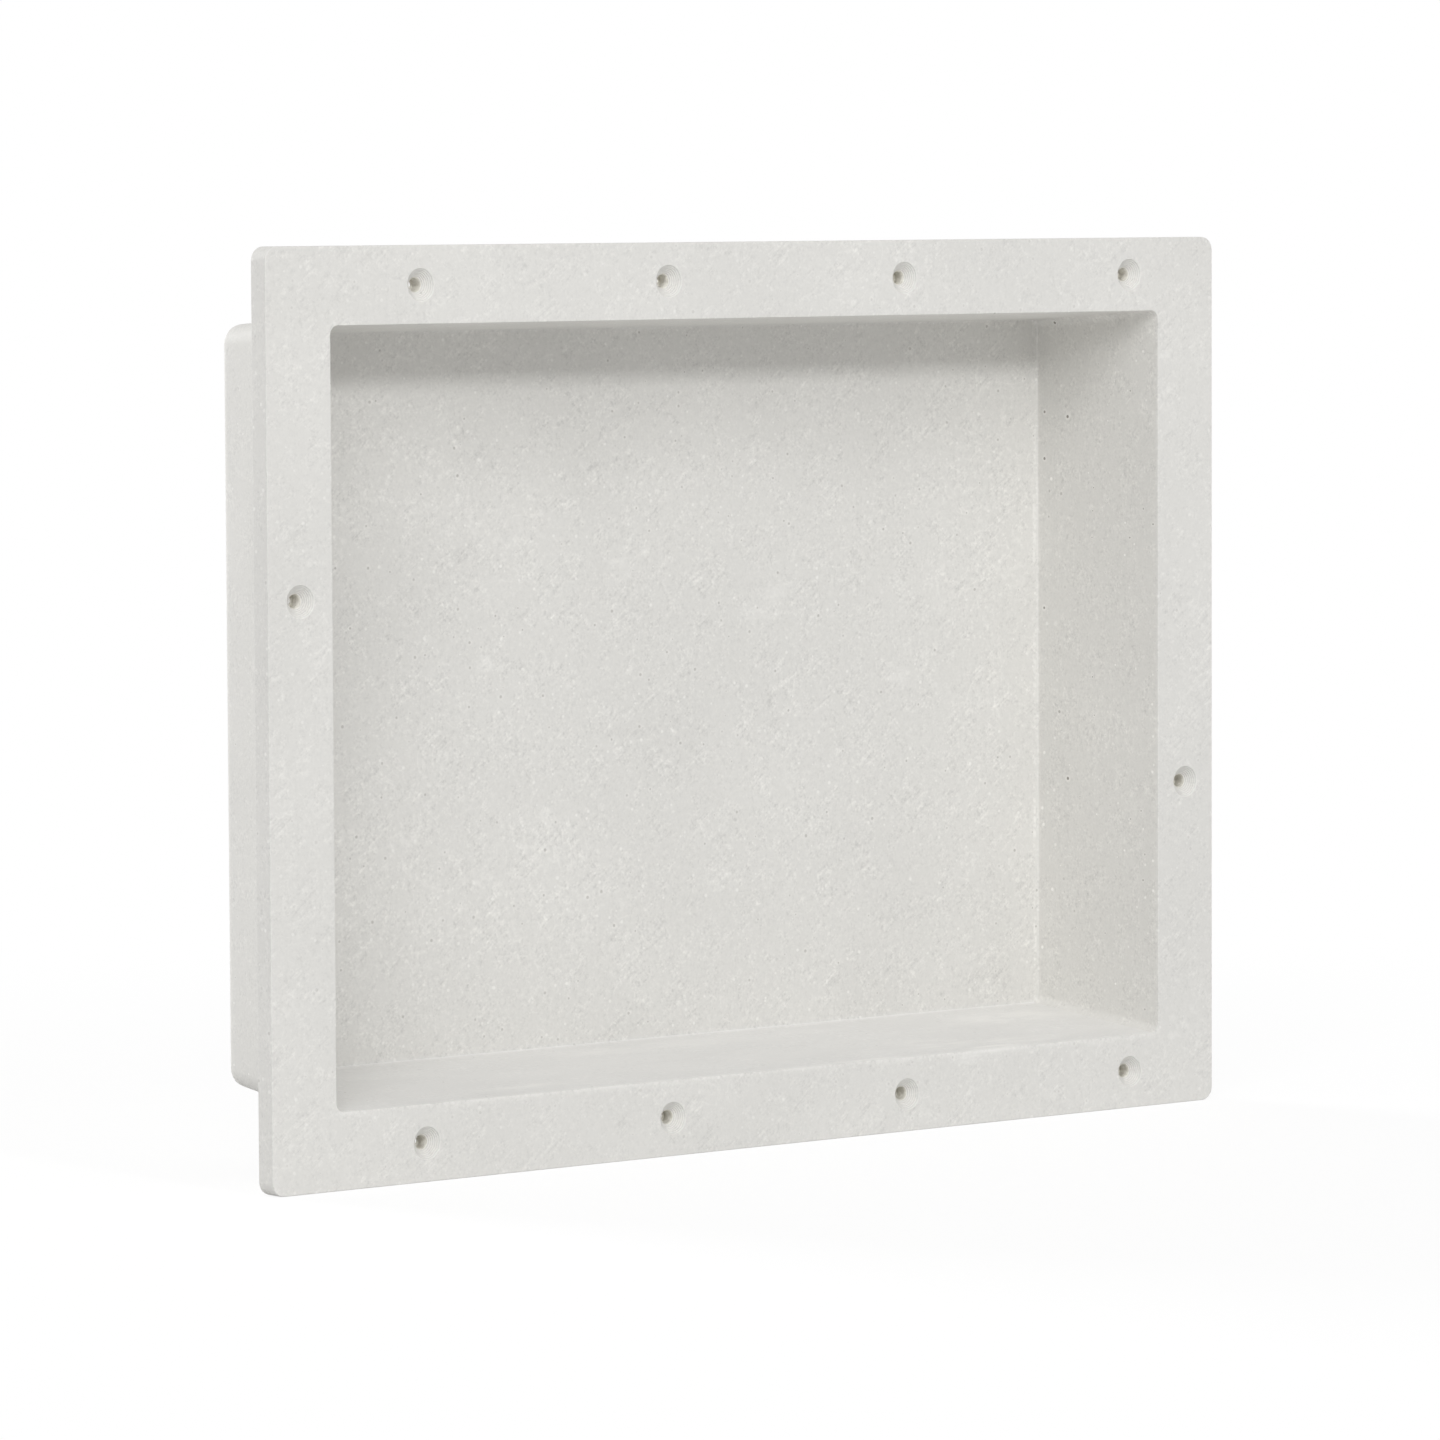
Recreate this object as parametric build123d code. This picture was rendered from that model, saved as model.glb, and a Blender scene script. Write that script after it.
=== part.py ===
from build123d import *
import math
import os

# Shower niche insert: one moulding with a flat flange that is screwed to the wall studs and a shallow
# drafted box behind it. Millimetres and degrees. The origin is the centre of the flange's back face,
# +X is to the right, +Z is up, and the recess opens towards -Y.

# Flange
flange_width = 406.4
flange_height = 304.8
flange_thickness = 8.0
flange_corner_radius = 4.5
flange_edge_radius = 0.4
rim_width = 25.6  # face of the flange from its outer edge to the opening, the same on all four sides

# Recess, its depth measured from the front of the flange
recess_depth = 60.0
wall_thickness = 3.5
wall_draft = 3.5  # the sides and the ceiling lean in towards the back
floor_slope = 5.8  # the floor falls towards the front, so that water runs out
opening_corner_radius = 3.0
opening_edge_radius = 0.4
recess_back_radius = 0.8
box_back_radius = 5.2  # outside, round the back of the box
root_radius = 2.0  # outside, where the box leaves the flange

# Countersunk screw holes, on the middle line of the flange's rim
screw_hole_radius = 2.2
countersink_radius = 5.5
countersink_angle = 82.0  # across the cone
holes_per_row = 4
first_hole_from_left = 61.5
last_hole_from_right = 38.9
side_hole_rise = 38.8  # the left hole is above mid-height, the right hole as far below it

opening_width = flange_width - 2 * rim_width
opening_height = flange_height - 2 * rim_width
hole_inset = rim_width / 2


def upright_plane(y):
    """Plane at the given Y that faces the front, with its own x along X and its own y along Z."""
    return Plane(origin=(0, y, 0), x_dir=(1, 0, 0), z_dir=(0, -1, 0))


def level_faces(body):
    """Flat faces square to Y, from the front to the back."""
    return body.faces().filter_by(Axis.Y).sort_by(Axis.Y)


def flange_plate():
    """Flat plate with rounded corners and soft outer edges, its back on the plane of the origin."""
    outline = RectangleRounded(flange_width, flange_height, flange_corner_radius)
    plate = extrude(upright_plane(0) * outline, amount=flange_thickness)
    front, back = level_faces(plate)
    return fillet(front.edges() + back.edges(), flange_edge_radius)


def recess_reach(depth, growth):
    """Half width, ceiling and floor of the recess at a depth, with its walls moved out by growth."""
    draft = math.radians(wall_draft)
    slope = math.radians(floor_slope)
    lean_in = depth * math.tan(draft) - growth / math.cos(draft)
    floor_rise = depth * math.tan(slope) - growth / math.cos(slope)
    return opening_width / 2 - lean_in, opening_height / 2 - lean_in, floor_rise - opening_height / 2


def drafted_block(front_depth, back_depth, growth, back_radius):
    """Solid of the recess between two depths, its long edges and back edges rounded.

    A plan with leaning sides crosses a side view with a leaning ceiling and a sloping floor, so every wall
    is flat. The long edges' radius grows with the walls, so the outside follows the recess round each corner.
    """
    front_y = front_depth - flange_thickness
    back_y = back_depth - flange_thickness
    front_half, front_top, front_bottom = recess_reach(front_depth, growth)
    back_half, back_top, back_bottom = recess_reach(back_depth, growth)
    plan = Polyline(
        (-front_half, front_y), (front_half, front_y), (back_half, back_y), (-back_half, back_y), close=True
    )
    side = Polyline(
        (front_y, front_bottom), (front_y, front_top), (back_y, back_top), (back_y, back_bottom), close=True
    )
    block = extrude(make_face(plan), flange_height / 2, both=True)
    block &= extrude(Plane.YZ * make_face(side), flange_width / 2, both=True)
    front, back = level_faces(block)
    end_edges = front.edges() + back.edges()
    long_edges = [edge for edge in block.edges() if edge not in end_edges]
    block = fillet(long_edges, opening_corner_radius + growth)
    back = level_faces(block)[-1]
    return fillet(back.edges(), back_radius)


def screw_hole_places():
    """Centres of the screw holes as (x, z): a row along the top and the bottom, and a hole at each side."""
    first_x = first_hole_from_left - flange_width / 2
    last_x = flange_width / 2 - last_hole_from_right
    pitch = (last_x - first_x) / (holes_per_row - 1)
    row_z = flange_height / 2 - hole_inset
    side_x = flange_width / 2 - hole_inset
    rows = [(first_x + index * pitch, z) for z in (row_z, -row_z) for index in range(holes_per_row)]
    return rows + [(-side_x, side_hole_rise), (side_x, -side_hole_rise)]


def screw_hole_cutter():
    """Countersunk hole that starts on the front of the flange and leaves it at the back."""
    return CounterSinkHole(
        radius=screw_hole_radius,
        counter_sink_radius=countersink_radius,
        depth=2 * flange_thickness,
        counter_sink_angle=countersink_angle,
    )


def niche_insert():
    """Flange and box joined by a root radius, then hollowed from the front and drilled."""
    box_depth = recess_depth + wall_thickness
    body = flange_plate() + drafted_block(flange_thickness / 2, box_depth, wall_thickness, box_back_radius)
    flange_back = level_faces(body)[1]
    body = fillet(flange_back.inner_wires()[0].edges(), root_radius)
    body -= drafted_block(-flange_thickness, recess_depth, 0, recess_back_radius)
    flange_front = level_faces(body)[0]
    body = fillet(flange_front.inner_wires()[0].edges(), opening_edge_radius)
    front_plane = upright_plane(-flange_thickness)
    for x, z in screw_hole_places():
        body -= front_plane * Pos(x, z) * screw_hole_cutter()
    return body


os.makedirs("parts", exist_ok=True)
export_step(niche_insert(), "parts/niche_insert.step")
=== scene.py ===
import math

import bpy
import numpy as np
from mathutils import Matrix, Vector


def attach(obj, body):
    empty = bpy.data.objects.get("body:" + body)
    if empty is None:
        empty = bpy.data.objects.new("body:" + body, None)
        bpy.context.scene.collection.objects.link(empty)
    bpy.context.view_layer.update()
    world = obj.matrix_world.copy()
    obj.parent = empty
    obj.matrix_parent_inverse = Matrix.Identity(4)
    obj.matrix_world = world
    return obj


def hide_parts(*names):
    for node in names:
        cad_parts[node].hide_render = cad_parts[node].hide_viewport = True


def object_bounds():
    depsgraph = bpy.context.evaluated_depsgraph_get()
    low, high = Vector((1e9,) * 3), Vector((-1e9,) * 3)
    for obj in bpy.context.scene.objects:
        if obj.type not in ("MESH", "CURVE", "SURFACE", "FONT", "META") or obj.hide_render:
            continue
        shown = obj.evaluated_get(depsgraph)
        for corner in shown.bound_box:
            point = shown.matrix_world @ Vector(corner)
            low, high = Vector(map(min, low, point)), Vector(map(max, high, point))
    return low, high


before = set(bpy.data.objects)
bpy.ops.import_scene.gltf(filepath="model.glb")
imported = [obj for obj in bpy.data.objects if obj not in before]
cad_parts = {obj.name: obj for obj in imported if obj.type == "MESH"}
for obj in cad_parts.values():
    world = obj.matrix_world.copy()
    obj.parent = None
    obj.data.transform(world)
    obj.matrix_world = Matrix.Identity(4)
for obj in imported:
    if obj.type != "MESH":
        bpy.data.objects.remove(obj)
cadLow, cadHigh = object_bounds()
mm = 0.001
print("frame loaded, box in mm:", [round((high - low) / mm, 1) for low, high in zip(cadLow, cadHigh)])


# Rises from 0 at low to 1 at high, level at both ends
def smoothStep(low, high, value):
    share = np.clip((value - low) / (high - low), 0, 1)
    return share * share * (3 - 2 * share)


# Even random values on a lattice, blended smoothly between lattice points: cell is the lattice step
def latticeNoise(points, cell, seed):
    side = 64
    table = np.random.default_rng(seed).random((side, side, side))
    place = points / np.asarray(cell)
    corner = np.floor(place).astype(int)
    share = smoothStep(0, 1, place - corner)
    total = np.zeros(points.shape[:-1])
    for step in np.ndindex(2, 2, 2):
        weight = np.prod(np.where(step, share, 1 - share), axis=-1)
        index = (corner + step) % side
        total += weight * table[index[..., 0], index[..., 1], index[..., 2]]
    return total


# The moulding: one skin that runs from the recess back, over the walls, mouth, flange and box, to the box back
moulding = {
    "flangeThickness": 8.0 * mm,
    "flangeCorner": 4.5 * mm,
    "flangeEdge": 0.4 * mm,
    "rimWidth": 25.6 * mm,
    "wallThickness": 3.5 * mm,
    "wallDraft": math.radians(3.5),
    "floorSlope": math.radians(5.8),
    "mouthCorner": 3.0 * mm,
    "mouthEdge": 0.4 * mm,
    "recessEdge": 0.8 * mm,
    "boxEdge": 5.2 * mm,
    "rootEdge": 2.0 * mm,
    "lip": 0.6 * mm,            # flat loop kept beside the inner and outer back edges
    "longCells": 160,           # cells along the outline, then across the faces
    "shortCells": 110,
    "cornerCells": 3,
    "edgeCells": 5,
    "sideCells": 4,
    "boxCells": 8,
    "wallShares": {"ends": (0.015, 0.03, 0.06, 0.1), "middle": 0.15, "count": 18},
    "rimShares": {"ends": (0.03, 0.08), "middle": 0.16, "count": 5},
    "wave": 0.05 * mm,          # how far the flat faces sink and rise
    "waveCell": 26 * mm,
    "ridgeWander": 0.15 * mm,   # how far the mouth's edge strays from a straight line
    "ridgeCell": 13 * mm,
    "nookLumps": 0.20 * mm,     # how uneven the inner corners are
    "nookCell": 5 * mm,
    "trowelDepth": 0.10 * mm,   # streaks along the recess floor
    "trowelCell": (70 * mm, 7 * mm, 30 * mm),
    "floorFrom": 0.97,          # how squarely down the outline faces where the trowelled floor begins
    "ridgeReach": 1.0 * mm,
    "sideHighlight": 0.3,             # strength of the painted highlight on the mouth's other edges against its lower edge
    "dustAndHighlightFrom": 1.6 * mm,       # pale dust and a painted highlight lie in a narrow band this far from an inner corner
    "dustAndHighlightWide": 0.9 * mm,
    "paintedLowShadeReach": 35 * mm,       # height over which the painted shade low on the recess back fades
    "seed": 7,
}
finishNumber = {"face": 0, "floor": 1, "sink": 2, "rim": 3}   # places in the list of finishes


# A rectangle of cells with rounded corners. Each point slides along the sides by slide and stands off from
# the nearest corner centre by off, which is 1 long on the outline and shrinks evenly to 0 at the centre.
def roundedGrid(longCells, shortCells, cornerCells):
    column = np.arange(longCells + 2 * cornerCells + 1)
    row = np.arange(shortCells + 2 * cornerCells + 1)
    slideX = np.clip((column - cornerCells) / longCells, 0, 1) * 2 - 1
    slideZ = np.clip((row - cornerCells) / shortCells, 0, 1)
    beyondX = np.clip(column - cornerCells - longCells, 0, None) - np.clip(cornerCells - column, 0, None)
    beyondZ = np.clip(row - cornerCells - shortCells, 0, None) - np.clip(cornerCells - row, 0, None)
    outX, outZ = np.meshgrid(beyondX / cornerCells, beyondZ / cornerCells)
    reach = np.maximum(np.abs(outX), np.abs(outZ))
    lesser = np.minimum(np.abs(outX), np.abs(outZ)) / np.maximum(reach, 1e-9)
    angle = np.where(np.abs(outX) >= np.abs(outZ), lesser, 2 - lesser) * math.pi / 4
    offX = np.sign(outX) * reach * np.cos(angle)
    offZ = np.sign(outZ) * reach * np.sin(angle)
    slideX, slideZ = np.meshgrid(slideX, slideZ)
    return slideX, slideZ, offX, offZ


# The outline of that grid, walked once round from the left end of the bottom side towards +X
def outlineWalk(rows, columns, cornerCells):
    last = (rows - 1, columns - 1)
    bottom = [(0, c) for c in range(cornerCells, last[1])]
    right = [(r, last[1]) for r in range(last[0])]
    top = [(last[0], c) for c in range(last[1], 0, -1)]
    left = [(r, 0) for r in range(last[0], 0, -1)]
    close = [(0, c) for c in range(cornerCells)]
    return np.array(bottom + right + top + left + close)


# Shares of a face that lie closer together near both its ends
def closerAtEnds(ends, middle, count):
    return (*ends, *np.linspace(middle, 1 - middle, count), *(1 - end for end in ends[::-1]))


# Profile of the moulding from the recess back to the box back. Every station gives how far the sides, top and
# bottom stand out, how deep they lie, and the corner radius of the outline there.
def mouldingProfile(spec, low, high):
    draft, slope = spec["wallDraft"], spec["floorSlope"]
    thick, wall = spec["flangeThickness"], spec["wallThickness"]
    front, back = low.y, high.y
    mouthX, mouthZ = high.x - spec["rimWidth"], high.z - spec["rimWidth"]
    stations, marks = [], {}

    # a station is the distance out from the mouth's outline at the sides and at the floor, the depth of each,
    # the corner radius, and how near the mouth's edge and the inner corner are
    def add(outSide, outFloor, ySide, yFloor, corner, ridge=0.0, nook=0.0):
        stations.append((mouthX + outSide, mouthZ + outSide, -mouthZ - outFloor,
                         ySide, yFloor, corner, ridge, nook))

    def wallOut(y, lean):
        return -(y - front) * math.tan(lean)

    edge = np.linspace(0, 1, spec["edgeCells"] + 1)

    # inner back edge: a flat lip, then an arc from the back wall onto each wall
    radius, lip = spec["recessEdge"], spec["lip"]
    centreY = back - wall - radius
    arcSide = wallOut(centreY, draft) - radius / math.cos(draft)
    arcFloor = wallOut(centreY, slope) - radius / math.cos(slope)
    add(arcSide - lip, arcFloor - lip, centreY + radius, centreY + radius, spec["mouthCorner"] - radius - lip)
    for share in edge:
        side, floor = share * (math.pi / 2 - draft), share * (math.pi / 2 - slope)
        add(arcSide + radius * math.sin(side), arcFloor + radius * math.sin(floor),
            centreY + radius * math.cos(side), centreY + radius * math.cos(floor),
            spec["mouthCorner"] - radius * (1 - math.sin(side)), nook=math.sin(share * math.pi) ** 3)
    marks["wallStart"] = len(stations) - 1

    # walls of the recess
    mouth = spec["mouthEdge"]
    deep, shallow = centreY + radius * math.sin(draft), front + mouth * (1 - math.sin(draft))
    for share in closerAtEnds(**spec["wallShares"]):
        y = deep + share * (shallow - deep)
        add(wallOut(y, draft), wallOut(y, slope), y, y, spec["mouthCorner"],
            ridge=math.exp(-(y - shallow) / spec["ridgeReach"]))
    marks["wallEnd"] = len(stations)

    # mouth edge: an arc from each wall onto the flange
    centreY = front + mouth
    for share in edge:
        side, floor = draft + share * (math.pi / 2 - draft), slope + share * (math.pi / 2 - slope)
        add(wallOut(centreY, draft) + mouth / math.cos(draft) - mouth * math.cos(side),
            wallOut(centreY, slope) + mouth / math.cos(slope) - mouth * math.cos(floor),
            centreY - mouth * math.sin(side), centreY - mouth * math.sin(floor),
            spec["mouthCorner"] + mouth * (1 - math.cos(side)), ridge=1.0)
    marks["rimStart"] = len(stations) - 1

    # flange face, outer edge, side and back edge
    innerSide, innerFloor, innerCorner = stations[-1][0] - mouthX, -stations[-1][2] - mouthZ, stations[-1][5]
    outer, arris = spec["rimWidth"], spec["flangeEdge"]
    faceShares = (*closerAtEnds(**spec["rimShares"]), 1.0)
    for share in faceShares:
        faceSide = innerSide + share * (outer - arris - innerSide)
        faceFloor = innerFloor + share * (outer - arris - innerFloor)
        faceCorner = innerCorner + share * (spec["flangeCorner"] - arris - innerCorner)
        add(faceSide, faceFloor, front, front, faceCorner,
            ridge=math.exp(-(faceSide - innerSide) / spec["ridgeReach"]))
    marks["rimEnd"] = len(stations) - 1
    for share in edge[1:]:
        turn = share * math.pi / 2
        out = outer - arris + arris * math.sin(turn)
        y = front + arris - arris * math.cos(turn)
        add(out, out, y, y, spec["flangeCorner"] - arris * (1 - math.sin(turn)))
    for share in np.linspace(0, 1, spec["sideCells"] + 1)[1:]:
        y = front + arris + share * (thick - 2 * arris)
        add(outer, outer, y, y, spec["flangeCorner"])
    for share in edge[1:]:
        turn = share * math.pi / 2
        out = outer - arris + arris * math.cos(turn)
        y = front + thick - arris + arris * math.sin(turn)
        add(out, out, y, y, spec["flangeCorner"] - arris * (1 - math.cos(turn)))
    marks["backStart"] = len(stations) - 1

    # flange back up to the root of the box, then an arc onto the box walls
    root = spec["rootEdge"]
    flangeBack = front + thick
    rootY = flangeBack + root
    boxCorner = spec["mouthCorner"] + wall
    rootSide = wallOut(rootY, draft) + (wall + root) / math.cos(draft)
    rootFloor = wallOut(rootY, slope) + (wall + root) / math.cos(slope)
    start, startCorner = outer - arris, stations[-1][5]
    for share in faceShares:
        add(start + share * (rootSide - start), start + share * (rootFloor - start), flangeBack, flangeBack,
            startCorner + share * (boxCorner + root - startCorner))
    marks["backEnd"] = len(stations) - 1
    for share in edge[1:]:
        side, floor = share * (math.pi / 2 - draft), share * (math.pi / 2 - slope)
        add(rootSide - root * math.sin(side), rootFloor - root * math.sin(floor),
            rootY - root * math.cos(side), rootY - root * math.cos(floor),
            boxCorner + root * (1 - math.sin(side)))

    # box walls, then the arc onto the box back and a flat lip
    boxEdge = spec["boxEdge"]
    centreY = back - boxEdge
    startY, endY = stations[-1][3], centreY + boxEdge * math.sin(draft)
    for share in np.linspace(0, 1, spec["boxCells"] + 1)[1:-1]:
        y = startY + share * (endY - startY)
        add(wallOut(y, draft) + wall / math.cos(draft), wallOut(y, slope) + wall / math.cos(slope),
            y, y, boxCorner)
    for share in edge:
        side, floor = draft + share * (math.pi / 2 - draft), slope + share * (math.pi / 2 - slope)
        add(wallOut(centreY, draft) + (wall - boxEdge) / math.cos(draft) + boxEdge * math.cos(side),
            wallOut(centreY, slope) + (wall - boxEdge) / math.cos(slope) + boxEdge * math.cos(floor),
            centreY + boxEdge * math.sin(side), centreY + boxEdge * math.sin(floor),
            boxCorner - boxEdge * (1 - math.cos(side)))
    add(stations[-1][0] - mouthX - lip, -stations[-1][2] - mouthZ - lip, back, back, stations[-1][5] - lip)
    return np.array(stations), marks


screwHoles = {
    "radius": 2.2 * mm,
    "sinkRadius": 5.5 * mm,
    "sinkAngle": math.radians(82),   # across the cone
    "rimRound": 0.15 * mm,
    "flashRadius": 1.35 * mm,        # thin moulding flash left at the back end of each bore
    "flashThick": 0.35 * mm,
    "firstFromLeft": 61.5 * mm,
    "lastFromRight": 38.9 * mm,
    "perRow": 4,
    "sideRise": 38.8 * mm,
    "cellsEachSide": 5,
    "closeIn": (0.35, 0.7, 0.92),    # rings between a block of rim cells and the countersink
    "roundCells": 3,
    "coneShares": (0.2, 0.4, 0.6, 0.8, 0.97, 1.0),
    "boreShares": (0.03, 0.27, 0.51, 0.75, 1.0),
}


# Middles of the screw holes: a row along the top and the bottom of the rim, and a hole at each side
def holeCentres(holes, rimWidth, low, high):
    rimHalf = rimWidth / 2
    rowX = np.linspace(low.x + holes["firstFromLeft"], high.x - holes["lastFromRight"], holes["perRow"])
    rise = high.z - rimHalf
    rows = [(x, z) for z in (rise, -rise) for x in rowX]
    return rows + [(low.x + rimHalf, holes["sideRise"]), (high.x - rimHalf, -holes["sideRise"])]


# Radius and depth down one screw hole: a parabola over the rim, a straight cone, the bore, and the flash
# behind it
def holeProfile(holes, thickness):
    radius, sink, soft = holes["radius"], holes["sinkRadius"], holes["rimRound"]
    share = np.linspace(0, 1, holes["roundCells"] + 1)
    lean = math.tan(holes["sinkAngle"] / 2)
    depth = (sink - radius) / lean
    rim = np.stack([sink + soft * (1 - share) ** 2 - lean * soft * share ** 2, soft * share ** 2])
    cone = rim[:, -1:] + np.array(holes["coneShares"]) * (np.array([[radius], [depth]]) - rim[:, -1:])
    floor = thickness - holes["flashThick"]
    down = np.array(holes["boreShares"])
    bore = np.stack([np.full(len(down), radius), depth + down * (floor - soft - depth)])
    turned = np.stack([radius - soft * share[1:] ** 2, floor - soft * (1 - share[1:]) ** 2])
    flash = np.array([[holes["flashRadius"], holes["flashRadius"], radius], [floor, thickness, thickness]])
    return np.concatenate([rim, cone, bore, turned, flash], axis=1)


# Loops of the outline at every station, closed at both ends by a flat grid, with the screw holes let into the
# rim. A loop point is the corner centre slid along its side, plus the corner radius along its way out.
def mouldingSkin(spec, holes, low, high):
    stations, marks = mouldingProfile(spec, low, high)
    grid = roundedGrid(spec["longCells"], spec["shortCells"], spec["cornerCells"])
    rows, columns = grid[0].shape
    walk = outlineWalk(rows, columns, spec["cornerCells"])
    slideX, slideZ, offX, offZ = (values[walk[:, 0], walk[:, 1]] for values in grid)
    halfX, top, bottom, ySide, yFloor, corner, ridge, nook = (values[:, None] for values in stations.T)
    around, count = len(walk), len(stations)
    floorShare = np.clip(-offZ, 0, 1)
    loops = np.stack([slideX * (halfX - corner) + offX * corner,
                      ySide + (yFloor - ySide) * floorShare,
                      bottom + corner + slideZ * (top - bottom - 2 * corner) + offZ * corner], axis=-1)

    # uneven hand finish: each face sinks along its own normal, never beyond the frame
    outward = np.cross(np.gradient(loops, axis=0), np.roll(loops, -1, axis=1) - np.roll(loops, 1, axis=1))
    outward /= np.linalg.norm(outward, axis=-1, keepdims=True)
    station = np.arange(count)[:, None]
    shown = 1 - smoothStep(marks["rimEnd"], marks["rimEnd"] + spec["edgeCells"], station)
    onWall = (station > marks["wallStart"]) & (station < marks["wallEnd"])
    seed = spec["seed"]
    wave = spec["wave"] * shown * latticeNoise(loops, spec["waveCell"], seed)
    wander = spec["ridgeWander"] * ridge * latticeNoise(loops, spec["ridgeCell"], seed + 1)
    lumps = spec["nookLumps"] * nook * (latticeNoise(loops, spec["nookCell"], seed + 2) - 0.5)
    trowel = spec["trowelDepth"] * floorShare * onWall * (1 - nook) * (1 - ridge)
    trowel = trowel * latticeNoise(loops, spec["trowelCell"], seed + 3)
    loops = loops - outward * (wave + wander + lumps + trowel)[..., None]
    loopPoints = loops.reshape(-1, 3)

    # flat grids over the recess back and the box back
    def flatGrid(row):
        x, z, outX, outZ = grid
        reach, rise, fall, radius = halfX[row, 0], top[row, 0], bottom[row, 0], corner[row, 0]
        points = np.stack([x * (reach - radius) + outX * radius, np.full(x.shape, ySide[row, 0]),
                           fall + radius + z * (rise - fall - 2 * radius) + outZ * radius], axis=-1)
        return points[1:-1, 1:-1].reshape(-1, 3)

    recessBack, boxBack = flatGrid(0), flatGrid(-1)
    recessBack[:, 1] += spec["wave"] * latticeNoise(recessBack, spec["waveCell"], seed)
    loopIndex = np.arange(count * around).reshape(count, around)

    def flatIndex(row, start):
        index = np.empty((rows, columns), int)
        index[walk[:, 0], walk[:, 1]] = loopIndex[row]
        index[1:-1, 1:-1] = start + np.arange((rows - 2) * (columns - 2)).reshape(rows - 2, columns - 2)
        return index

    def quads(first, second, third, fourth):
        return np.stack([first, second, third, fourth], axis=-1).reshape(-1, 4)

    recess = flatIndex(0, loopIndex.size)
    box = flatIndex(-1, loopIndex.size + len(recessBack))
    holeStart = loopIndex.size + len(recessBack) + len(boxBack)
    recessFaces = quads(recess[:-1, :-1], recess[:-1, 1:], recess[1:, 1:], recess[1:, :-1])
    boxFaces = quads(box[:-1, :-1], box[1:, :-1], box[1:, 1:], box[:-1, 1:])

    # screw holes: a block of rim cells gives way to rings that close in to the countersink, go down the bore
    # and open out again to the same block behind
    def blockEdge(rungs, span):
        return np.concatenate([loopIndex[rungs[:-1], span[0]], loopIndex[rungs[-1], span[:-1]],
                               loopIndex[rungs[:0:-1], span[-1]], loopIndex[rungs[0], span[:0:-1]]])

    kept = np.ones((count - 1, around), bool)
    across = np.arange(marks["rimStart"], marks["rimEnd"] + 1)
    behind = np.arange(marks["backEnd"], marks["backStart"] - 1, -1)
    middle = (marks["rimStart"] + marks["rimEnd"]) // 2
    radius, depth = holeProfile(holes, spec["flangeThickness"])
    share = np.array(holes["closeIn"])[:, None, None]
    firstFree = holeStart
    ringPoints, ringFaces, ringDepth, ringSink = [], [], [], []
    for x, z in holeCentres(holes, spec["rimWidth"], low, high):
        nearest = int(np.argmin(((loops[middle][:, [0, 2]] - (x, z)) ** 2).sum(axis=1)))
        span = np.arange(nearest - holes["cellsEachSide"], nearest + holes["cellsEachSide"] + 1) % around
        for first, last in (("rimStart", "rimEnd"), ("backStart", "backEnd")):
            kept[marks[first]:marks[last], span[:-1]] = False
        frontEdge, rearEdge = blockEdge(across, span), blockEdge(behind, span)
        frontPoints, rearPoints = loopPoints[frontEdge], loopPoints[rearEdge]
        turn = np.arctan2(frontPoints[:, 2] - z, frontPoints[:, 0] - x)
        rings = np.stack([x + radius[:, None] * np.cos(turn),
                          np.repeat(low.y + depth[:, None], len(turn), axis=1),
                          z + radius[:, None] * np.sin(turn)], axis=-1)
        sunk = spec["wave"] * latticeNoise(rings, spec["waveCell"], seed)
        rings[..., 1] += sunk * (1 - smoothStep(0, holes["radius"], depth))[:, None]
        lead = frontPoints + share * (rings[0] - frontPoints)
        trail = rearPoints + share[::-1] * (rings[-1] - rearPoints)
        points = np.concatenate([lead, rings, trail])
        index = firstFree + np.arange(points.shape[0] * points.shape[1]).reshape(points.shape[:2])
        firstFree += index.size
        index = np.concatenate([frontEdge[None], index, rearEdge[None]])
        after = np.roll(index, -1, axis=1)
        ringPoints.append(points.reshape(-1, 3))
        ringFaces.append(quads(index[:-1], after[:-1], after[1:], index[1:]))
        inHole = np.zeros(points.shape[:2])
        inHole[len(lead):len(lead) + len(rings)] = depth[:, None]
        ringDepth.append(inHole.ravel())
        rung = np.arange(len(index) - 1)[:, None] + np.zeros(len(turn), int)
        ringSink.append(((rung > len(lead)) & (rung < len(lead) + len(rings))).ravel())

    # all faces with their finishes, and only the points that they use
    following = np.roll(loopIndex, -1, axis=1)
    wallFaces = quads(loopIndex[:-1], loopIndex[1:], following[1:], following[:-1])
    band = np.repeat(np.arange(count - 1)[:, None], around, axis=1)
    inRecess = (band >= marks["wallStart"] // 2) & (band < marks["wallEnd"])
    finish = np.where(band >= marks["rimStart"], finishNumber["rim"], finishNumber["face"])
    finish[inRecess & (floorShare > spec["floorFrom"])] = finishNumber["floor"]
    faces = np.concatenate([wallFaces[kept.ravel()], recessFaces, boxFaces, *ringFaces])
    finish = np.concatenate([finish[kept], np.full(len(recessFaces), finishNumber["face"]),
                             np.full(len(boxFaces), finishNumber["rim"]),
                             np.where(np.concatenate(ringSink), finishNumber["sink"], finishNumber["rim"])])
    points = np.concatenate([loopPoints, recessBack, boxBack, *ringPoints])
    used = np.zeros(len(points), bool)
    used[faces] = True
    renumbered = np.cumsum(used) - 1

    # nearness to the mouth's edge, and depth down a screw hole
    onLoops = slice(0, loopIndex.size)
    ridgeAll, depthAll = np.zeros(len(points)), np.zeros(len(points))
    # strength of the painted highlight along the mouth's edge, strongest on its lower edge
    ridgeAll[onLoops] = (ridge * (spec["sideHighlight"] + (1 - spec["sideHighlight"]) * floorShare)).ravel()
    depthAll[holeStart:] = np.concatenate(ringDepth)

    # bands of dust and painted highlight on the back beside the side walls and on the floor beside the back: a
    # bell curve of the distance from the corner
    def dustAndHighlightBand(away):
        return np.exp(-((away - spec["dustAndHighlightFrom"]) / spec["dustAndHighlightWide"]) ** 2)

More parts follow.
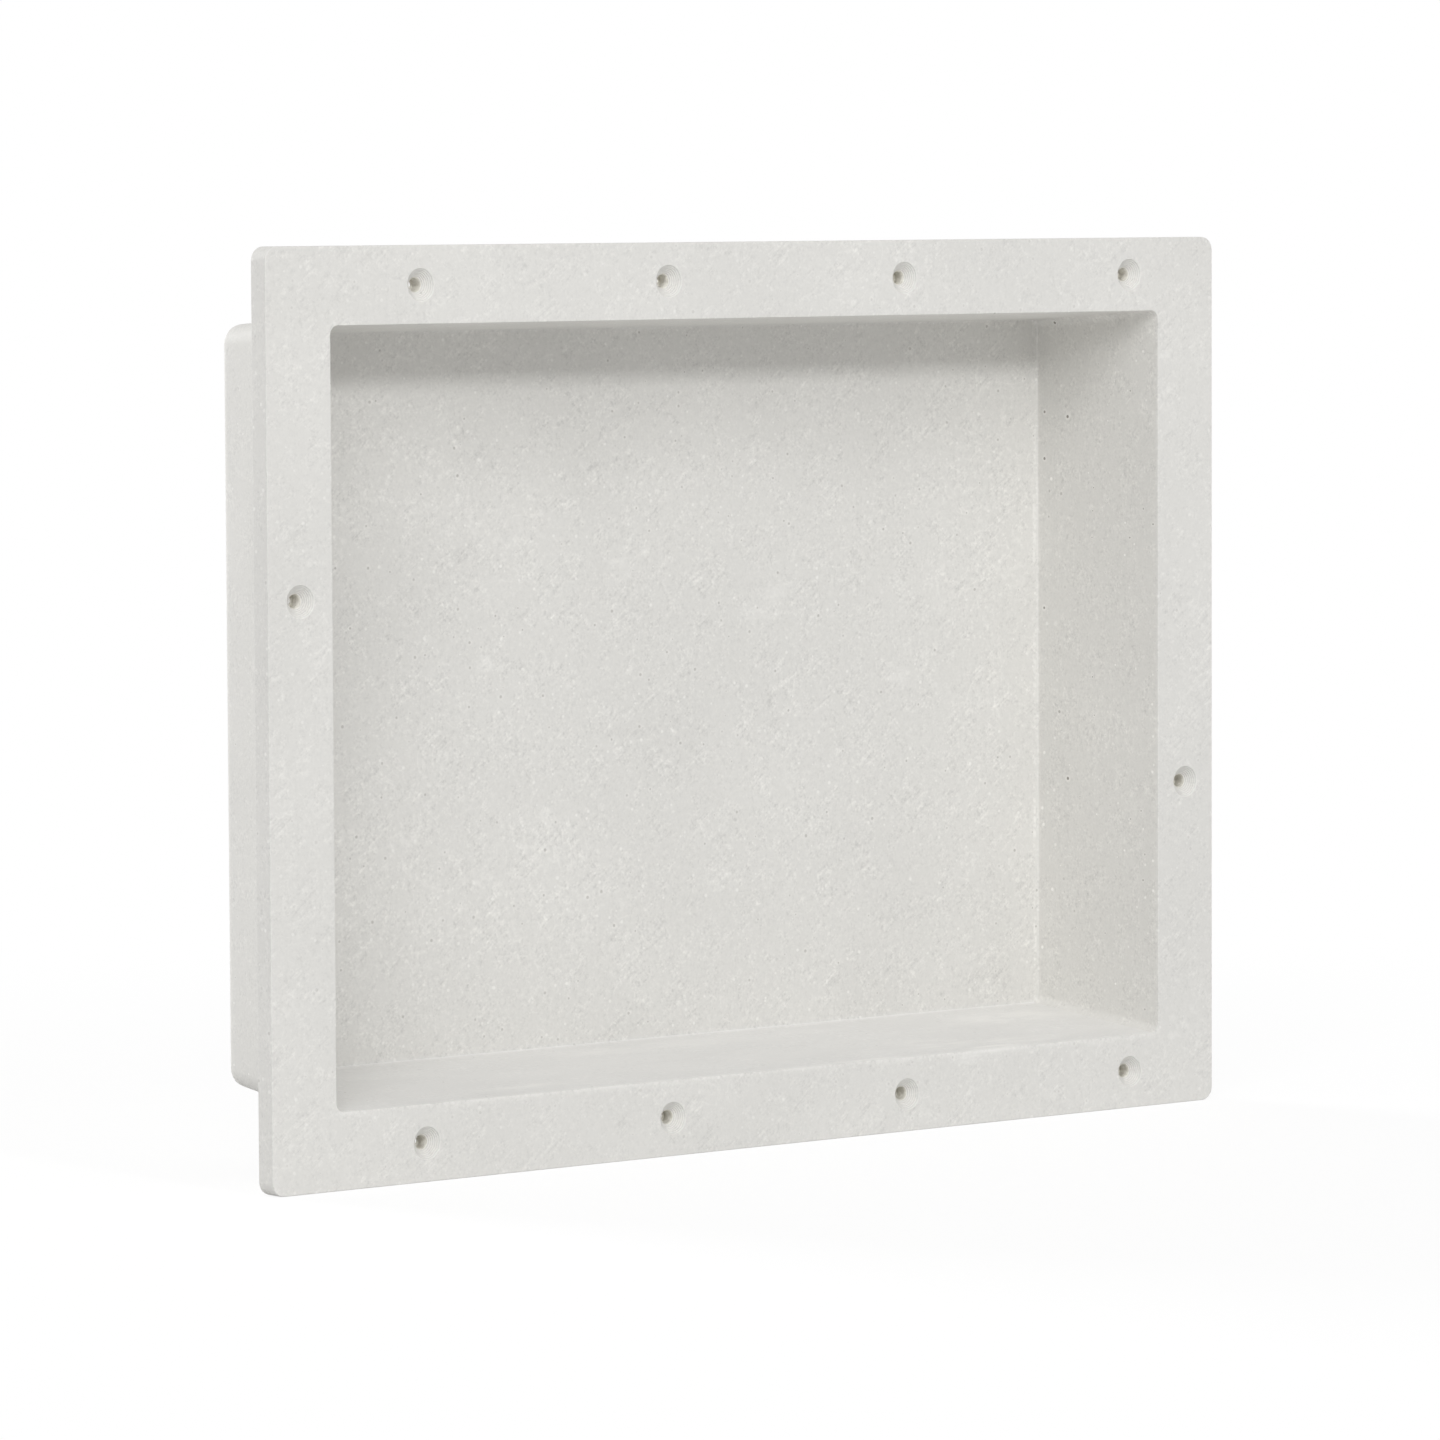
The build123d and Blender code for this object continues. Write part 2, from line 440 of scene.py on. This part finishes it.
    deepest = high.y - spec["wallThickness"]
    onBack = np.abs(points[:, 1] - deepest) < spec["lip"]
    cornerDustAndHighlight = dustAndHighlightBand(halfX[marks["wallStart"], 0] - np.abs(points[:, 0])) * onBack
    floorDustAndHighlight = dustAndHighlightBand(deepest - loops[..., 1]) * floorShare * (station < marks["wallEnd"])
    cornerDustAndHighlight[onLoops] = np.maximum(cornerDustAndHighlight[onLoops], floorDustAndHighlight.ravel())

    # painted shade on the recess back, darker towards the floor: falls off exponentially with the height above
    # the floor
    floorZ = spec["rimWidth"] - high.z + (points[:, 1] - low.y) * math.tan(spec["floorSlope"])
    paintedLowShade = np.exp(-np.clip(points[:, 2] - floorZ, 0, None) / spec["paintedLowShadeReach"]) * onBack
    attributes = {"ridge": ridgeAll, "nook": cornerDustAndHighlight, "sinkDepth": depthAll, "paintedLowShade": paintedLowShade}
    attributes = {label: values[used] for label, values in attributes.items()}
    return points[used], renumbered[faces], finish, attributes


def meshPiece(name, points, faces, finish, attributes, materials):
    mesh = bpy.data.meshes.new(name)
    mesh.vertices.add(len(points))
    mesh.vertices.foreach_set("co", points.astype(np.float32).ravel())
    mesh.loops.add(faces.size)
    mesh.loops.foreach_set("vertex_index", faces.astype(np.int32).ravel())
    mesh.polygons.add(len(faces))
    mesh.polygons.foreach_set("loop_start", np.arange(0, faces.size, faces.shape[1], dtype=np.int32))
    for material in materials:
        mesh.materials.append(material)
    mesh.polygons.foreach_set("material_index", finish.astype(np.int32))
    mesh.polygons.foreach_set("use_smooth", np.ones(len(faces), bool))
    for label, values in attributes.items():
        mesh.attributes.new(label, "FLOAT", "POINT").data.foreach_set("value", values.astype(np.float32))
    mesh.update(calc_edges=True)
    mesh.validate()
    piece = bpy.data.objects.new(name, mesh)
    bpy.context.scene.collection.objects.link(piece)
    return piece


# Node shorthands: a socket value is a number, a colour or another node's output
def put(tree, kind, sockets=None, **settings):
    node = tree.nodes.new(kind)
    for name, value in settings.items():
        setattr(node, name, value)
    for name, value in (sockets or {}).items():
        if isinstance(value, bpy.types.NodeSocket):
            tree.links.new(value, node.inputs[name])
        else:
            node.inputs[name].default_value = value
    return node


def calc(tree, operation, *values):
    return put(tree, "ShaderNodeMath", dict(enumerate(values)), operation=operation).outputs[0]


def vectorCalc(tree, operation, *values):
    return put(tree, "ShaderNodeVectorMath", dict(enumerate(values)), operation=operation).outputs[0]


def scaled(tree, vector, factor):
    return put(tree, "ShaderNodeVectorMath", {0: vector, "Scale": factor}, operation="SCALE").outputs[0]


def ramp(tree, value, low, high, toLow=0.0, toHigh=1.0):
    sockets = {"Value": value, "From Min": low, "From Max": high, "To Min": toLow, "To Max": toHigh}
    return put(tree, "ShaderNodeMapRange", sockets, interpolation_type="SMOOTHSTEP").outputs[0]


# Only the strong swings of a noise: up to 1 where it is high, down to -1 where it is low, 0 between
def strongSwing(tree, value, low, high):
    return calc(tree, "SUBTRACT", ramp(tree, value, low, high), ramp(tree, value, -low, -high))


# The two colours of a Mix node are its sockets 6 and 7, and its colour comes out of socket 2
def blendColor(tree, share, first, second):
    return put(tree, "ShaderNodeMix", {"Factor": share, 6: first, 7: second}, data_type="RGBA").outputs[2]


def newGroup(name, inputs, outputs):
    tree = bpy.data.node_groups.new(name, "ShaderNodeTree")
    for label, kind, default in inputs:
        socket = tree.interface.new_socket(label, in_out="INPUT", socket_type=kind)
        socket.default_value = default
    for label, kind in outputs:
        tree.interface.new_socket(label, in_out="OUTPUT", socket_type=kind)
    return tree, tree.nodes.new("NodeGroupInput").outputs, tree.nodes.new("NodeGroupOutput").inputs


def placeGroup(tree, group, sockets):
    return put(tree, "ShaderNodeGroup", sockets, node_tree=group).outputs


# Noise in mm on the object's own coordinates, returned as a swing about zero. A shift counts by these shares
# along X, Y and Z.
shiftShares = (1.0, 0.7, 1.3)


def swing(tree, place, scale, detail=1.0, shift=0.0, distortion=0.0):
    moved = vectorCalc(tree, "ADD", place, tuple(shift * share for share in shiftShares))
    sockets = {"Vector": moved, "Scale": scale, "Detail": detail, "Distortion": distortion}
    noise = put(tree, "ShaderNodeTexNoise", sockets)
    return calc(tree, "SUBTRACT", noise.outputs["Fac"], 0.5)


def inMillimetres(tree):
    return scaled(tree, put(tree, "ShaderNodeTexCoord").outputs["Object"], 1 / mm)


# Scattered dots: distance to the nearest random point, measured in that dot's own random radius, and a random
# strength for the dot
def dots(tree, place, spacing, smallest, largest, faintest, shift):
    moved = vectorCalc(tree, "ADD", place, (shift, shift, shift))
    cells = put(tree, "ShaderNodeTexVoronoi", {"Vector": moved, "Scale": 1 / spacing})
    chances = put(tree, "ShaderNodeSeparateColor", {0: cells.outputs["Color"]}).outputs
    radius = put(tree, "ShaderNodeMapRange",
                 {"Value": chances[0], "To Min": smallest / spacing, "To Max": largest / spacing}).outputs[0]
    strength = put(tree, "ShaderNodeMapRange", {"Value": chances[1], "To Min": faintest}).outputs[0]
    return calc(tree, "DIVIDE", cells.outputs["Distance"], radius), strength


# Moulded grain, shared by every finish: salt and pepper that gathers in clusters, thin wandering veins,
# slanting strokes, pale specks, pinholes with a pale lip, and broad clouds. Scales are per mm, sizes in mm.
grainLook = {
    "fine": {"scale": 1.05},
    "coarse": {"scale": 0.42, "detail": 2.0, "shift": 41.0},
    "gather": {"scale": 0.11, "detail": 3.0, "shift": 13.0, "distortion": 1.2},
    "cloud": {"scale": 0.014, "detail": 4.0, "shift": 97.0},
    "vein": {"scale": 0.05, "detail": 2.0, "shift": 71.0, "distortion": 1.6},
    "stroke": {"scale": 1.0, "shift": 17.0, "distortion": 0.5},
    "grainShown": (0.06, 0.20),      # swing at which a grain starts to show, and where it shows in full
    "fineShare": 0.5,                # weight of the fine grain beside the coarse
    "clusterSwing": (-0.16, 0.16),
    "clusterGrain": (0.45, 1.45),    # grain left between the clusters, and in them
    "veinWidth": 0.03,
    "veinClouds": (-0.04, 0.10),     # veins show in the paler clouds
    "veinBreaks": (-0.14, 0.08),     # and break up with the coarse grain
    "strokeSize": (10.0, 1.2, 1.2),  # along and across the strokes
    "strokeTurn": math.radians(-38),
    "strokeShown": (0.05, 0.20),
    "strokeGather": (-0.04, 0.12),   # strokes lie where the grain gathers
    "speck": {"spacing": 4.6, "smallest": 0.30, "largest": 0.85, "faintest": 0.25, "shift": 5.0},
    "pinhole": {"spacing": 6.0, "smallest": 0.28, "largest": 0.72, "faintest": 0.25, "shift": 23.0},
    "speckCore": 0.5,                # share of the radius that shows in full
    "pinholeCore": 0.6,
    "lipReach": (2.2, 1.4),          # pale lip of a pinhole, in pinhole radii
    "lipShare": 0.35,                # how pale the lip is against a speck
    "speckColor": (0.98, 0.97, 0.94, 1),
    "pinholeColor": (0.30, 0.28, 0.25, 1),
    "coarseHeight": 0.6,
    "roughness": 0.62,
    "roughnessSwing": 0.15,
}


def grainGroup(look):
    tree, given, result = newGroup("mouldedGrain",
        [("Tint", "NodeSocketColor", (0.7, 0.69, 0.66, 1)), ("Grain", "NodeSocketFloat", 0.1),
         ("Veins", "NodeSocketFloat", 0.05), ("Clouds", "NodeSocketFloat", 0.05),
         ("Specks", "NodeSocketFloat", 0.5), ("Pinholes", "NodeSocketFloat", 0.5)],
        [("Color", "NodeSocketColor"), ("Height", "NodeSocketFloat"), ("Roughness", "NodeSocketFloat")])
    place = inMillimetres(tree)
    swings = ("fine", "coarse", "gather", "cloud")
    fine, coarse, gather, cloud = (swing(tree, place, **look[key]) for key in swings)

    sparse = strongSwing(tree, fine, *look["grainShown"])
    cluster = ramp(tree, gather, *look["clusterSwing"], *look["clusterGrain"])
    grain = calc(tree, "MULTIPLY", calc(tree, "MULTIPLY_ADD", sparse, look["fineShare"], coarse), cluster)

    line = calc(tree, "ABSOLUTE", swing(tree, place, **look["vein"]))
    vein = ramp(tree, line, look["veinWidth"], 0.0)
    vein = calc(tree, "MULTIPLY", vein, ramp(tree, cloud, *look["veinClouds"]))
    vein = calc(tree, "MULTIPLY", vein, ramp(tree, coarse, *look["veinBreaks"]))

    # the texture kind of mapping turns first and draws out afterwards, so the strokes slant
    turn = {"Vector": place, "Rotation": (0, look["strokeTurn"], 0), "Scale": look["strokeSize"]}
    turned = put(tree, "ShaderNodeMapping", turn, vector_type="TEXTURE").outputs[0]
    stroke = strongSwing(tree, swing(tree, turned, **look["stroke"]), *look["strokeShown"])
    stroke = calc(tree, "MULTIPLY", stroke, ramp(tree, gather, *look["strokeGather"]))

    shade = 1.0
    for pattern, amount in ((grain, "Grain"), (cloud, "Clouds"), (calc(tree, "ADD", vein, stroke), "Veins")):
        shade = calc(tree, "MULTIPLY_ADD", pattern, given[amount], shade)
    color = scaled(tree, given["Tint"], shade)

    toSpeck, bright = dots(tree, place, **look["speck"])
    speck = calc(tree, "MULTIPLY", ramp(tree, toSpeck, 1.0, look["speckCore"]), bright)
    toPinhole, dark = dots(tree, place, **look["pinhole"])
    dark = calc(tree, "MULTIPLY", dark, dark)
    pinhole = calc(tree, "MULTIPLY", ramp(tree, toPinhole, 1.0, look["pinholeCore"]), dark)
    lip = calc(tree, "MULTIPLY", ramp(tree, toPinhole, *look["lipReach"], 0.0, look["lipShare"]), dark)
    fleck = calc(tree, "MULTIPLY", calc(tree, "MAXIMUM", speck, lip), given["Specks"])
    color = blendColor(tree, fleck, color, look["speckColor"])
    color = blendColor(tree, calc(tree, "MULTIPLY", pinhole, given["Pinholes"]), color, look["pinholeColor"])

    height = calc(tree, "SUBTRACT", calc(tree, "MULTIPLY_ADD", coarse, look["coarseHeight"], fine), pinhole)
    roughness = calc(tree, "MULTIPLY_ADD", grain, look["roughnessSwing"], look["roughness"])
    for label, value in (("Color", color), ("Height", height), ("Roughness", roughness)):
        tree.links.new(value, result[label])
    return tree


# Pale, broken line: painted highlight along the mouth's edge, and painted highlight with release dust in the
# inner corners
edgeHighlightLook = {
    "breaks": {"scale": 0.6, "detail": 2.0, "shift": 61.0},   # scales per mm
    "lengths": {"scale": 0.04, "detail": 2.0, "shift": 29.0},
    "shown": (-0.08, 0.22),    # swing at which a grain of the line starts to show, and where it shows in full
    "nearness": (0.1, 0.9),
    "paleColor": (0.95, 0.94, 0.91, 1),
}


def edgeHighlightGroup(look):
    tree, given, result = newGroup("paintedEdgeHighlight",
        [("Color", "NodeSocketColor", (0.7, 0.7, 0.7, 1)), ("Nearness", "NodeSocketFloat", 0.0),
         ("Amount", "NodeSocketFloat", 0.5), ("Fill", "NodeSocketFloat", 0.0)],
        [("Color", "NodeSocketColor")])
    place = inMillimetres(tree)
    spread = calc(tree, "ADD", swing(tree, place, **look["breaks"]), swing(tree, place, **look["lengths"]))
    grains = ramp(tree, calc(tree, "ADD", spread, given["Fill"]), *look["shown"])
    mask = calc(tree, "MULTIPLY", ramp(tree, given["Nearness"], *look["nearness"]), grains)
    mask = calc(tree, "MULTIPLY", mask, given["Amount"])
    tree.links.new(blendColor(tree, mask, given["Color"], look["paleColor"]), result["Color"])
    return tree


# Pale smears of dust across the mouth's lower edge and on the floor, and scuffs on the recess back. Each is an
# ellipsoid that fades outwards from its centre, broken up by noise drawn out along X. Places and reaches in mm.
smears = [
    {"at": (105, -5.5, -126.6), "reach": (19, 5, 4), "strength": 0.85},
    {"at": (91, -8, -129.3), "reach": (12, 3, 3), "strength": 0.6},
    {"at": (122, 1.5, -125.8), "reach": (28, 8, 4), "strength": 0.5},
    {"at": (86, 6, -125.4), "reach": (24, 12, 4), "strength": 0.5},
    {"at": (-95, 2.5, -125.7), "reach": (24, 4, 4), "strength": 0.5},
    {"at": (45, -6, -126.6), "reach": (26, 2, 3), "strength": 0.5},
    {"at": (146, 34, -122.5), "reach": (40, 16, 4), "strength": 0.5},
    {"at": (-20, 40, -121.9), "reach": (60, 9, 4), "strength": 0.3},
    {"at": (45, 52, 23), "reach": (10, 4, 6), "strength": 0.4},
    {"at": (54, 52, 31), "reach": (9, 4, 6), "strength": 0.45},
    {"at": (-72, 52, 10), "reach": (6, 4, 6), "strength": 0.7},
    {"at": (-15, 52, 42), "reach": (8, 4, 9), "strength": 0.4},
    {"at": (109, 52, -1), "reach": (8, 4, 7), "strength": 0.4},
    {"at": (29, 52, -68), "reach": (12, 4, 7), "strength": 0.4},
]
smearLook = {
    "wispScale": (0.06, 0.28, 0.34),   # per mm
    "wisps": {"scale": 1.0, "detail": 4.0, "shift": 19.0, "distortion": 0.8},
    "wispSwing": (-0.16, 0.16),
    "wispLow": 0.15,                   # share of a smear left between its wisps
    "fade": (1.0, 0.2),                # shares of the reach where a smear starts, and where it shows in full
    "paleColor": (0.97, 0.96, 0.93, 1),
}


def smearGroup(marks, look):
    tree, given, result = newGroup("paleSmears",
        [("Color", "NodeSocketColor", (0.7, 0.7, 0.7, 1)), ("Amount", "NodeSocketFloat", 0.5)],
        [("Color", "NodeSocketColor")])
    place = inMillimetres(tree)
    drawn = vectorCalc(tree, "MULTIPLY", place, look["wispScale"])
    wisps = ramp(tree, swing(tree, drawn, **look["wisps"]), *look["wispSwing"], look["wispLow"])
    total = 0.0
    for mark in marks:
        away = vectorCalc(tree, "DIVIDE", vectorCalc(tree, "SUBTRACT", place, mark["at"]), mark["reach"])
        reach = put(tree, "ShaderNodeVectorMath", {0: away}, operation="LENGTH").outputs["Value"]
        total = calc(tree, "MAXIMUM", ramp(tree, reach, *look["fade"], 0.0, mark["strength"]), total)
    mask = calc(tree, "MULTIPLY", calc(tree, "MULTIPLY", total, wisps), given["Amount"])
    tree.links.new(blendColor(tree, mask, given["Color"], look["paleColor"]), result["Color"])
    return tree


def newMaterial(name):
    material = bpy.data.materials.new(name)
    material.use_nodes = True
    tree = material.node_tree
    return material, tree, tree.nodes["Principled BSDF"]


def surfaceMask(tree, label):
    return put(tree, "ShaderNodeAttribute", None, attribute_name=label).outputs["Fac"]


groups = {"grain": grainGroup(grainLook), "edgeHighlight": edgeHighlightGroup(edgeHighlightLook), "smear": smearGroup(smears, smearLook)}


def grained(tree, look, tint):
    amounts = {label: look[label.lower()] for label in ("Grain", "Veins", "Clouds", "Specks", "Pinholes")}
    return placeGroup(tree, groups["grain"], {"Tint": tint, **amounts})


# Painted highlight along the mouth's edge, painted highlight with dust in the inner corners, then smears
def highlightedAndWeathered(tree, color, look):
    edged = placeGroup(tree, groups["edgeHighlight"], {"Color": color, "Nearness": surfaceMask(tree, "ridge"),
                                             "Amount": look["ridgeHighlight"], "Fill": look["ridgeFill"]})
    nooked = placeGroup(tree, groups["edgeHighlight"], {"Color": edged["Color"], "Nearness": surfaceMask(tree, "nook"),
                                              "Amount": look["nookDustAndHighlight"]})
    return placeGroup(tree, groups["smear"], {"Color": nooked["Color"], "Amount": look["smears"]})["Color"]


def wireShader(tree, shader, color, roughness, height, look):
    tree.links.new(color, shader.inputs["Base Color"])
    tree.links.new(roughness, shader.inputs["Roughness"])
    bump = put(tree, "ShaderNodeBump", {"Height": height, "Strength": 1.0, "Distance": look["bump"]})
    tree.links.new(bump.outputs["Normal"], shader.inputs["Normal"])
    shader.inputs["Specular IOR Level"].default_value = look["specular"]


faceFinish = {
    "tint": (0.7806, 0.771, 0.742, 1),
    "grain": 0.14,
    "veins": 0.06,
    "clouds": 0.13,
    "specks": 1.0,
    "pinholes": 1.0,
    # painted highlight along the mouth's edge
    "ridgeHighlight": 0.38,
    "ridgeFill": 0.12,
    # painted highlight with dust in the inner corners
    "nookDustAndHighlight": 0.6,
    "smears": 0.5,
    # painted shade, darkening the recess back towards the floor
    "paintedLowShade": 0.085,
    "bump": 0.05 * mm,
    "specular": 0.25,
}

# Outside the recess the grain is weaker
rimFinish = {
    **faceFinish,
    "grain": 0.10,
    "veins": 0.05,
    "specks": 0.7,
    "pinholes": 0.45,
    "smears": 0.9,
    "paintedLowShade": 0.0,
    "bump": 0.035 * mm,
}


def facedMaterial(name, look):
    material, tree, shader = newMaterial(name)
    body = grained(tree, look, look["tint"])
    color = body["Color"]
    # painted shade: the recess back is darker towards the floor
    if look["paintedLowShade"]:
        lowShadeFactor = calc(tree, "MULTIPLY_ADD", surfaceMask(tree, "paintedLowShade"), -look["paintedLowShade"], 1.0)
        color = scaled(tree, color, lowShadeFactor)
    wireShader(tree, shader, highlightedAndWeathered(tree, color, look), body["Roughness"], body["Height"], look)
    return material


floorFinish = {
    "tint": (0.832, 0.825, 0.806, 1),
    "grain": 0.06,
    "veins": 0.04,
    "clouds": 0.04,
    "specks": 0.4,
    "pinholes": 0.4,
    "streak": {"scale": 1.0, "detail": 4.0, "shift": 3.0, "distortion": 0.6},
    "streakScale": (0.03, 0.09, 0.09),   # per mm, drawn out along the floor
    "streaks": 0.09,
    # painted highlight along the mouth's edge
    "ridgeHighlight": 0.45,
    "ridgeFill": 0.12,
    # painted highlight with dust in the inner corners
    "nookDustAndHighlight": 0.5,
    "smears": 1.0,
    "bump": 0.02 * mm,
    "specular": 0.25,
}


def trowelledMaterial(name, look):
    material, tree, shader = newMaterial(name)
    drawn = vectorCalc(tree, "MULTIPLY", inMillimetres(tree), look["streakScale"])
    shade = calc(tree, "MULTIPLY_ADD", swing(tree, drawn, **look["streak"]), look["streaks"], 1.0)
    body = grained(tree, look, look["tint"])
    color = highlightedAndWeathered(tree, scaled(tree, body["Color"], shade), look)
    wireShader(tree, shader, color, body["Roughness"], body["Height"], look)
    return material


sinkFinish = {
    "tint": (0.82, 0.81, 0.78, 1),
    "boreTint": (0.74, 0.72, 0.65, 1),
    "borePale": (0.92, 0.90, 0.84, 1),   # blotches in the bore
    "blotch": {"scale": 0.5, "detail": 2.0, "shift": 53.0},
    "blotchSwing": (-0.12, 0.14),
    "boreDepth": (3.25 * mm, 3.65 * mm),
    "grain": 0.08,
    "veins": 0.0,
    "clouds": 0.03,
    "specks": 0.2,
    "pinholes": 0.3,
    "ringPitch": 0.55 * mm,
    "ringShade": 0.07,
    "ringHeight": 1.2,
    "bump": 0.05 * mm,
    "specular": 0.25,
}


# Turned countersink: rings that repeat down the cone, a sine of the depth
def turnedMaterial(name, look):
    material, tree, shader = newMaterial(name)
    depth = surfaceMask(tree, "sinkDepth")
    rings = calc(tree, "SINE", calc(tree, "MULTIPLY", depth, 2 * math.pi / look["ringPitch"]))
    blotch = ramp(tree, swing(tree, inMillimetres(tree), **look["blotch"]), *look["blotchSwing"])
    boreTint = blendColor(tree, blotch, look["boreTint"], look["borePale"])
    body = grained(tree, look, blendColor(tree, ramp(tree, depth, *look["boreDepth"]), look["tint"], boreTint))
    shade = calc(tree, "MULTIPLY_ADD", rings, look["ringShade"], 1.0)
    height = calc(tree, "MULTIPLY_ADD", rings, look["ringHeight"], body["Height"])
    wireShader(tree, shader, scaled(tree, body["Color"], shade), body["Roughness"], height, look)
    return material


# in the order of the finish numbers that mouldingSkin gives the faces
finishes = [facedMaterial("mouldedFace", faceFinish), trowelledMaterial("trowelledFloor", floorFinish),
            turnedMaterial("turnedSink", sinkFinish), facedMaterial("mouldedRim", rimFinish)]
print("finishes ready")

insert = meshPiece("nicheMoulding", *mouldingSkin(moulding, screwHoles, cadLow, cadHigh), finishes)
insert.modifiers.new("flatFaces", "WEIGHTED_NORMAL").keep_sharp = True
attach(insert, "root")
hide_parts("niche_insert")
print("moulding built,", len(insert.data.polygons), "faces")


# Floor: white to the camera, with a share of real shading near the object so that its shadow stays
floorSet = {
    "reach": 6.0,
    "bounceColor": (0.75, 0.75, 0.75, 1),
    "shadeColor": (0.18, 0.18, 0.18, 1),
    "glow": 0.853,
    "white": 1.0,
    "shadeFade": (0.30, 0.75),   # metres from the origin where the shading starts to fade, and where it is gone
}


def seenDirectly(tree):
    rays = put(tree, "ShaderNodeLightPath").outputs
    seen = calc(tree, "MAXIMUM", rays["Is Camera Ray"], rays["Is Glossy Ray"])
    return calc(tree, "MAXIMUM", seen, rays["Is Transmission Ray"])


def studioFloor(spec, height):
    reach = spec["reach"]
    mesh = bpy.data.meshes.new("studioFloor")
    corners = ((-reach, -reach), (reach, -reach), (reach, reach), (-reach, reach))
    mesh.from_pydata([(x, y, height) for x, y in corners], [], [(0, 1, 2, 3)])
    material, tree, shader = newMaterial("whitePaper")
    tree.nodes.remove(shader)
    bounce = put(tree, "ShaderNodeBsdfDiffuse", {"Color": spec["bounceColor"]}).outputs[0]
    shade = put(tree, "ShaderNodeBsdfDiffuse", {"Color": spec["shadeColor"]}).outputs[0]
    glow = put(tree, "ShaderNodeEmission", {"Strength": spec["glow"]}).outputs[0]
    white = put(tree, "ShaderNodeEmission", {"Strength": spec["white"]}).outputs[0]
    place = put(tree, "ShaderNodeTexCoord").outputs["Object"]
    away = put(tree, "ShaderNodeVectorMath", {0: place}, operation="LENGTH").outputs["Value"]
    shown = put(tree, "ShaderNodeAddShader", {0: shade, 1: glow}).outputs[0]
    faded = ramp(tree, away, *spec["shadeFade"])
    shown = put(tree, "ShaderNodeMixShader", {0: faded, 1: shown, 2: white}).outputs[0]
    mixed = put(tree, "ShaderNodeMixShader", {0: seenDirectly(tree), 1: bounce, 2: shown}).outputs[0]
    tree.links.new(mixed, tree.nodes["Material Output"].inputs["Surface"])
    mesh.materials.append(material)
    floor = bpy.data.objects.new("studioFloor", mesh)
    bpy.context.scene.collection.objects.link(floor)


studioFloor(floorSet, cadLow.z)


# Soft studio light. Each lamp gives its bearing from the flange's front towards the left and its height, in
# degrees, its distance and width in metres, and how bright a white card facing it becomes.
lampSet = {
    "keyLamp": {"bearing": 0, "height": 20.3, "distance": 7.0, "width": 0.73, "level": 0.238},
    "softBox": {"bearing": 48, "height": 26, "distance": 7.0, "width": 3.3, "level": 0.293},
    "rearLamp": {"bearing": 165, "height": 15, "distance": 6.0, "width": 2.0, "level": 0.575},
    "leftLamp": {"bearing": 70, "height": 12, "distance": 6.0, "width": 2.0, "level": 0.014},
    "topLamp": {"bearing": 0, "height": 74, "distance": 1.5, "width": 0.6, "level": 0.064},
    "fillLamp": {"bearing": -33, "height": 36, "distance": 5.0, "width": 2.0, "level": 0.052},
}
roomSet = {
    "color": (1, 1, 1, 1),
    "level": 0.358,      # as light on the part
    "seenLevel": 1.0,    # as the background
}


def studioLamp(name, spec):
    bearing, height = math.radians(spec["bearing"]), math.radians(spec["height"])
    flat = math.cos(height)
    toward = Vector((-math.sin(bearing) * flat, -math.cos(bearing) * flat, math.sin(height)))
    lamp = bpy.data.lights.new(name, "AREA")
    lamp.size = spec["width"]
    lamp.energy = spec["level"] * (math.pi * spec["distance"]) ** 2
    holder = bpy.data.objects.new(name, lamp)
    facing = toward.to_track_quat("Z", "Y").to_matrix().to_4x4()
    holder.matrix_world = Matrix.Translation(toward * spec["distance"]) @ facing
    holder.visible_camera = False
    bpy.context.scene.collection.objects.link(holder)


def studioRoom(spec):
    world = bpy.data.worlds.new("studioRoom")
    bpy.context.scene.world = world
    world.use_nodes = True
    tree = world.node_tree
    background = tree.nodes["Background"]
    background.inputs["Color"].default_value = spec["color"]
    levels = {"Value": seenDirectly(tree), "To Min": spec["level"], "To Max": spec["seenLevel"]}
    tree.links.new(put(tree, "ShaderNodeMapRange", levels).outputs[0], background.inputs["Strength"])


for lampName, lampSpec in lampSet.items():
    studioLamp(lampName, lampSpec)
studioRoom(roomSet)
bpy.context.scene.view_settings.view_transform = "Standard"
print("studio lit")


# Camera where the photograph was taken: turned to the right of straight on, tipped slightly down
cameraSet = {
    "heading": 38.55,   # degrees
    "dip": 4.019,
    "roll": -0.268,
    "aim": (-0.018775, -0.007813, -0.00729),   # metres
    "distance": 2.5363,
    "focalPixels": 7578.0,
    "framePixels": 1440.0,
    "sensorWidth": 36.0,
}


def studioCamera(spec):
    heading, dip, roll = (math.radians(spec[key]) for key in ("heading", "dip", "roll"))
    ahead = Vector((math.sin(heading) * math.cos(dip), math.cos(heading) * math.cos(dip), -math.sin(dip)))
    right = ahead.cross(Vector((0, 0, 1))).normalized()
    up = right.cross(ahead)
    tiltedRight = right * math.cos(roll) + up * math.sin(roll)
    tiltedUp = up * math.cos(roll) - right * math.sin(roll)
    lens = bpy.data.cameras.new("studioCamera")
    lens.sensor_width = spec["sensorWidth"]
    lens.lens = spec["focalPixels"] / spec["framePixels"] * spec["sensorWidth"]
    holder = bpy.data.objects.new("studioCamera", lens)
    placed = Matrix((tiltedRight, tiltedUp, -ahead)).transposed().to_4x4()
    placed.translation = Vector(spec["aim"]) - ahead * spec["distance"]
    holder.matrix_world = placed
    bpy.context.scene.collection.objects.link(holder)
    bpy.context.scene.camera = holder


studioCamera(cameraSet)
print("camera set")
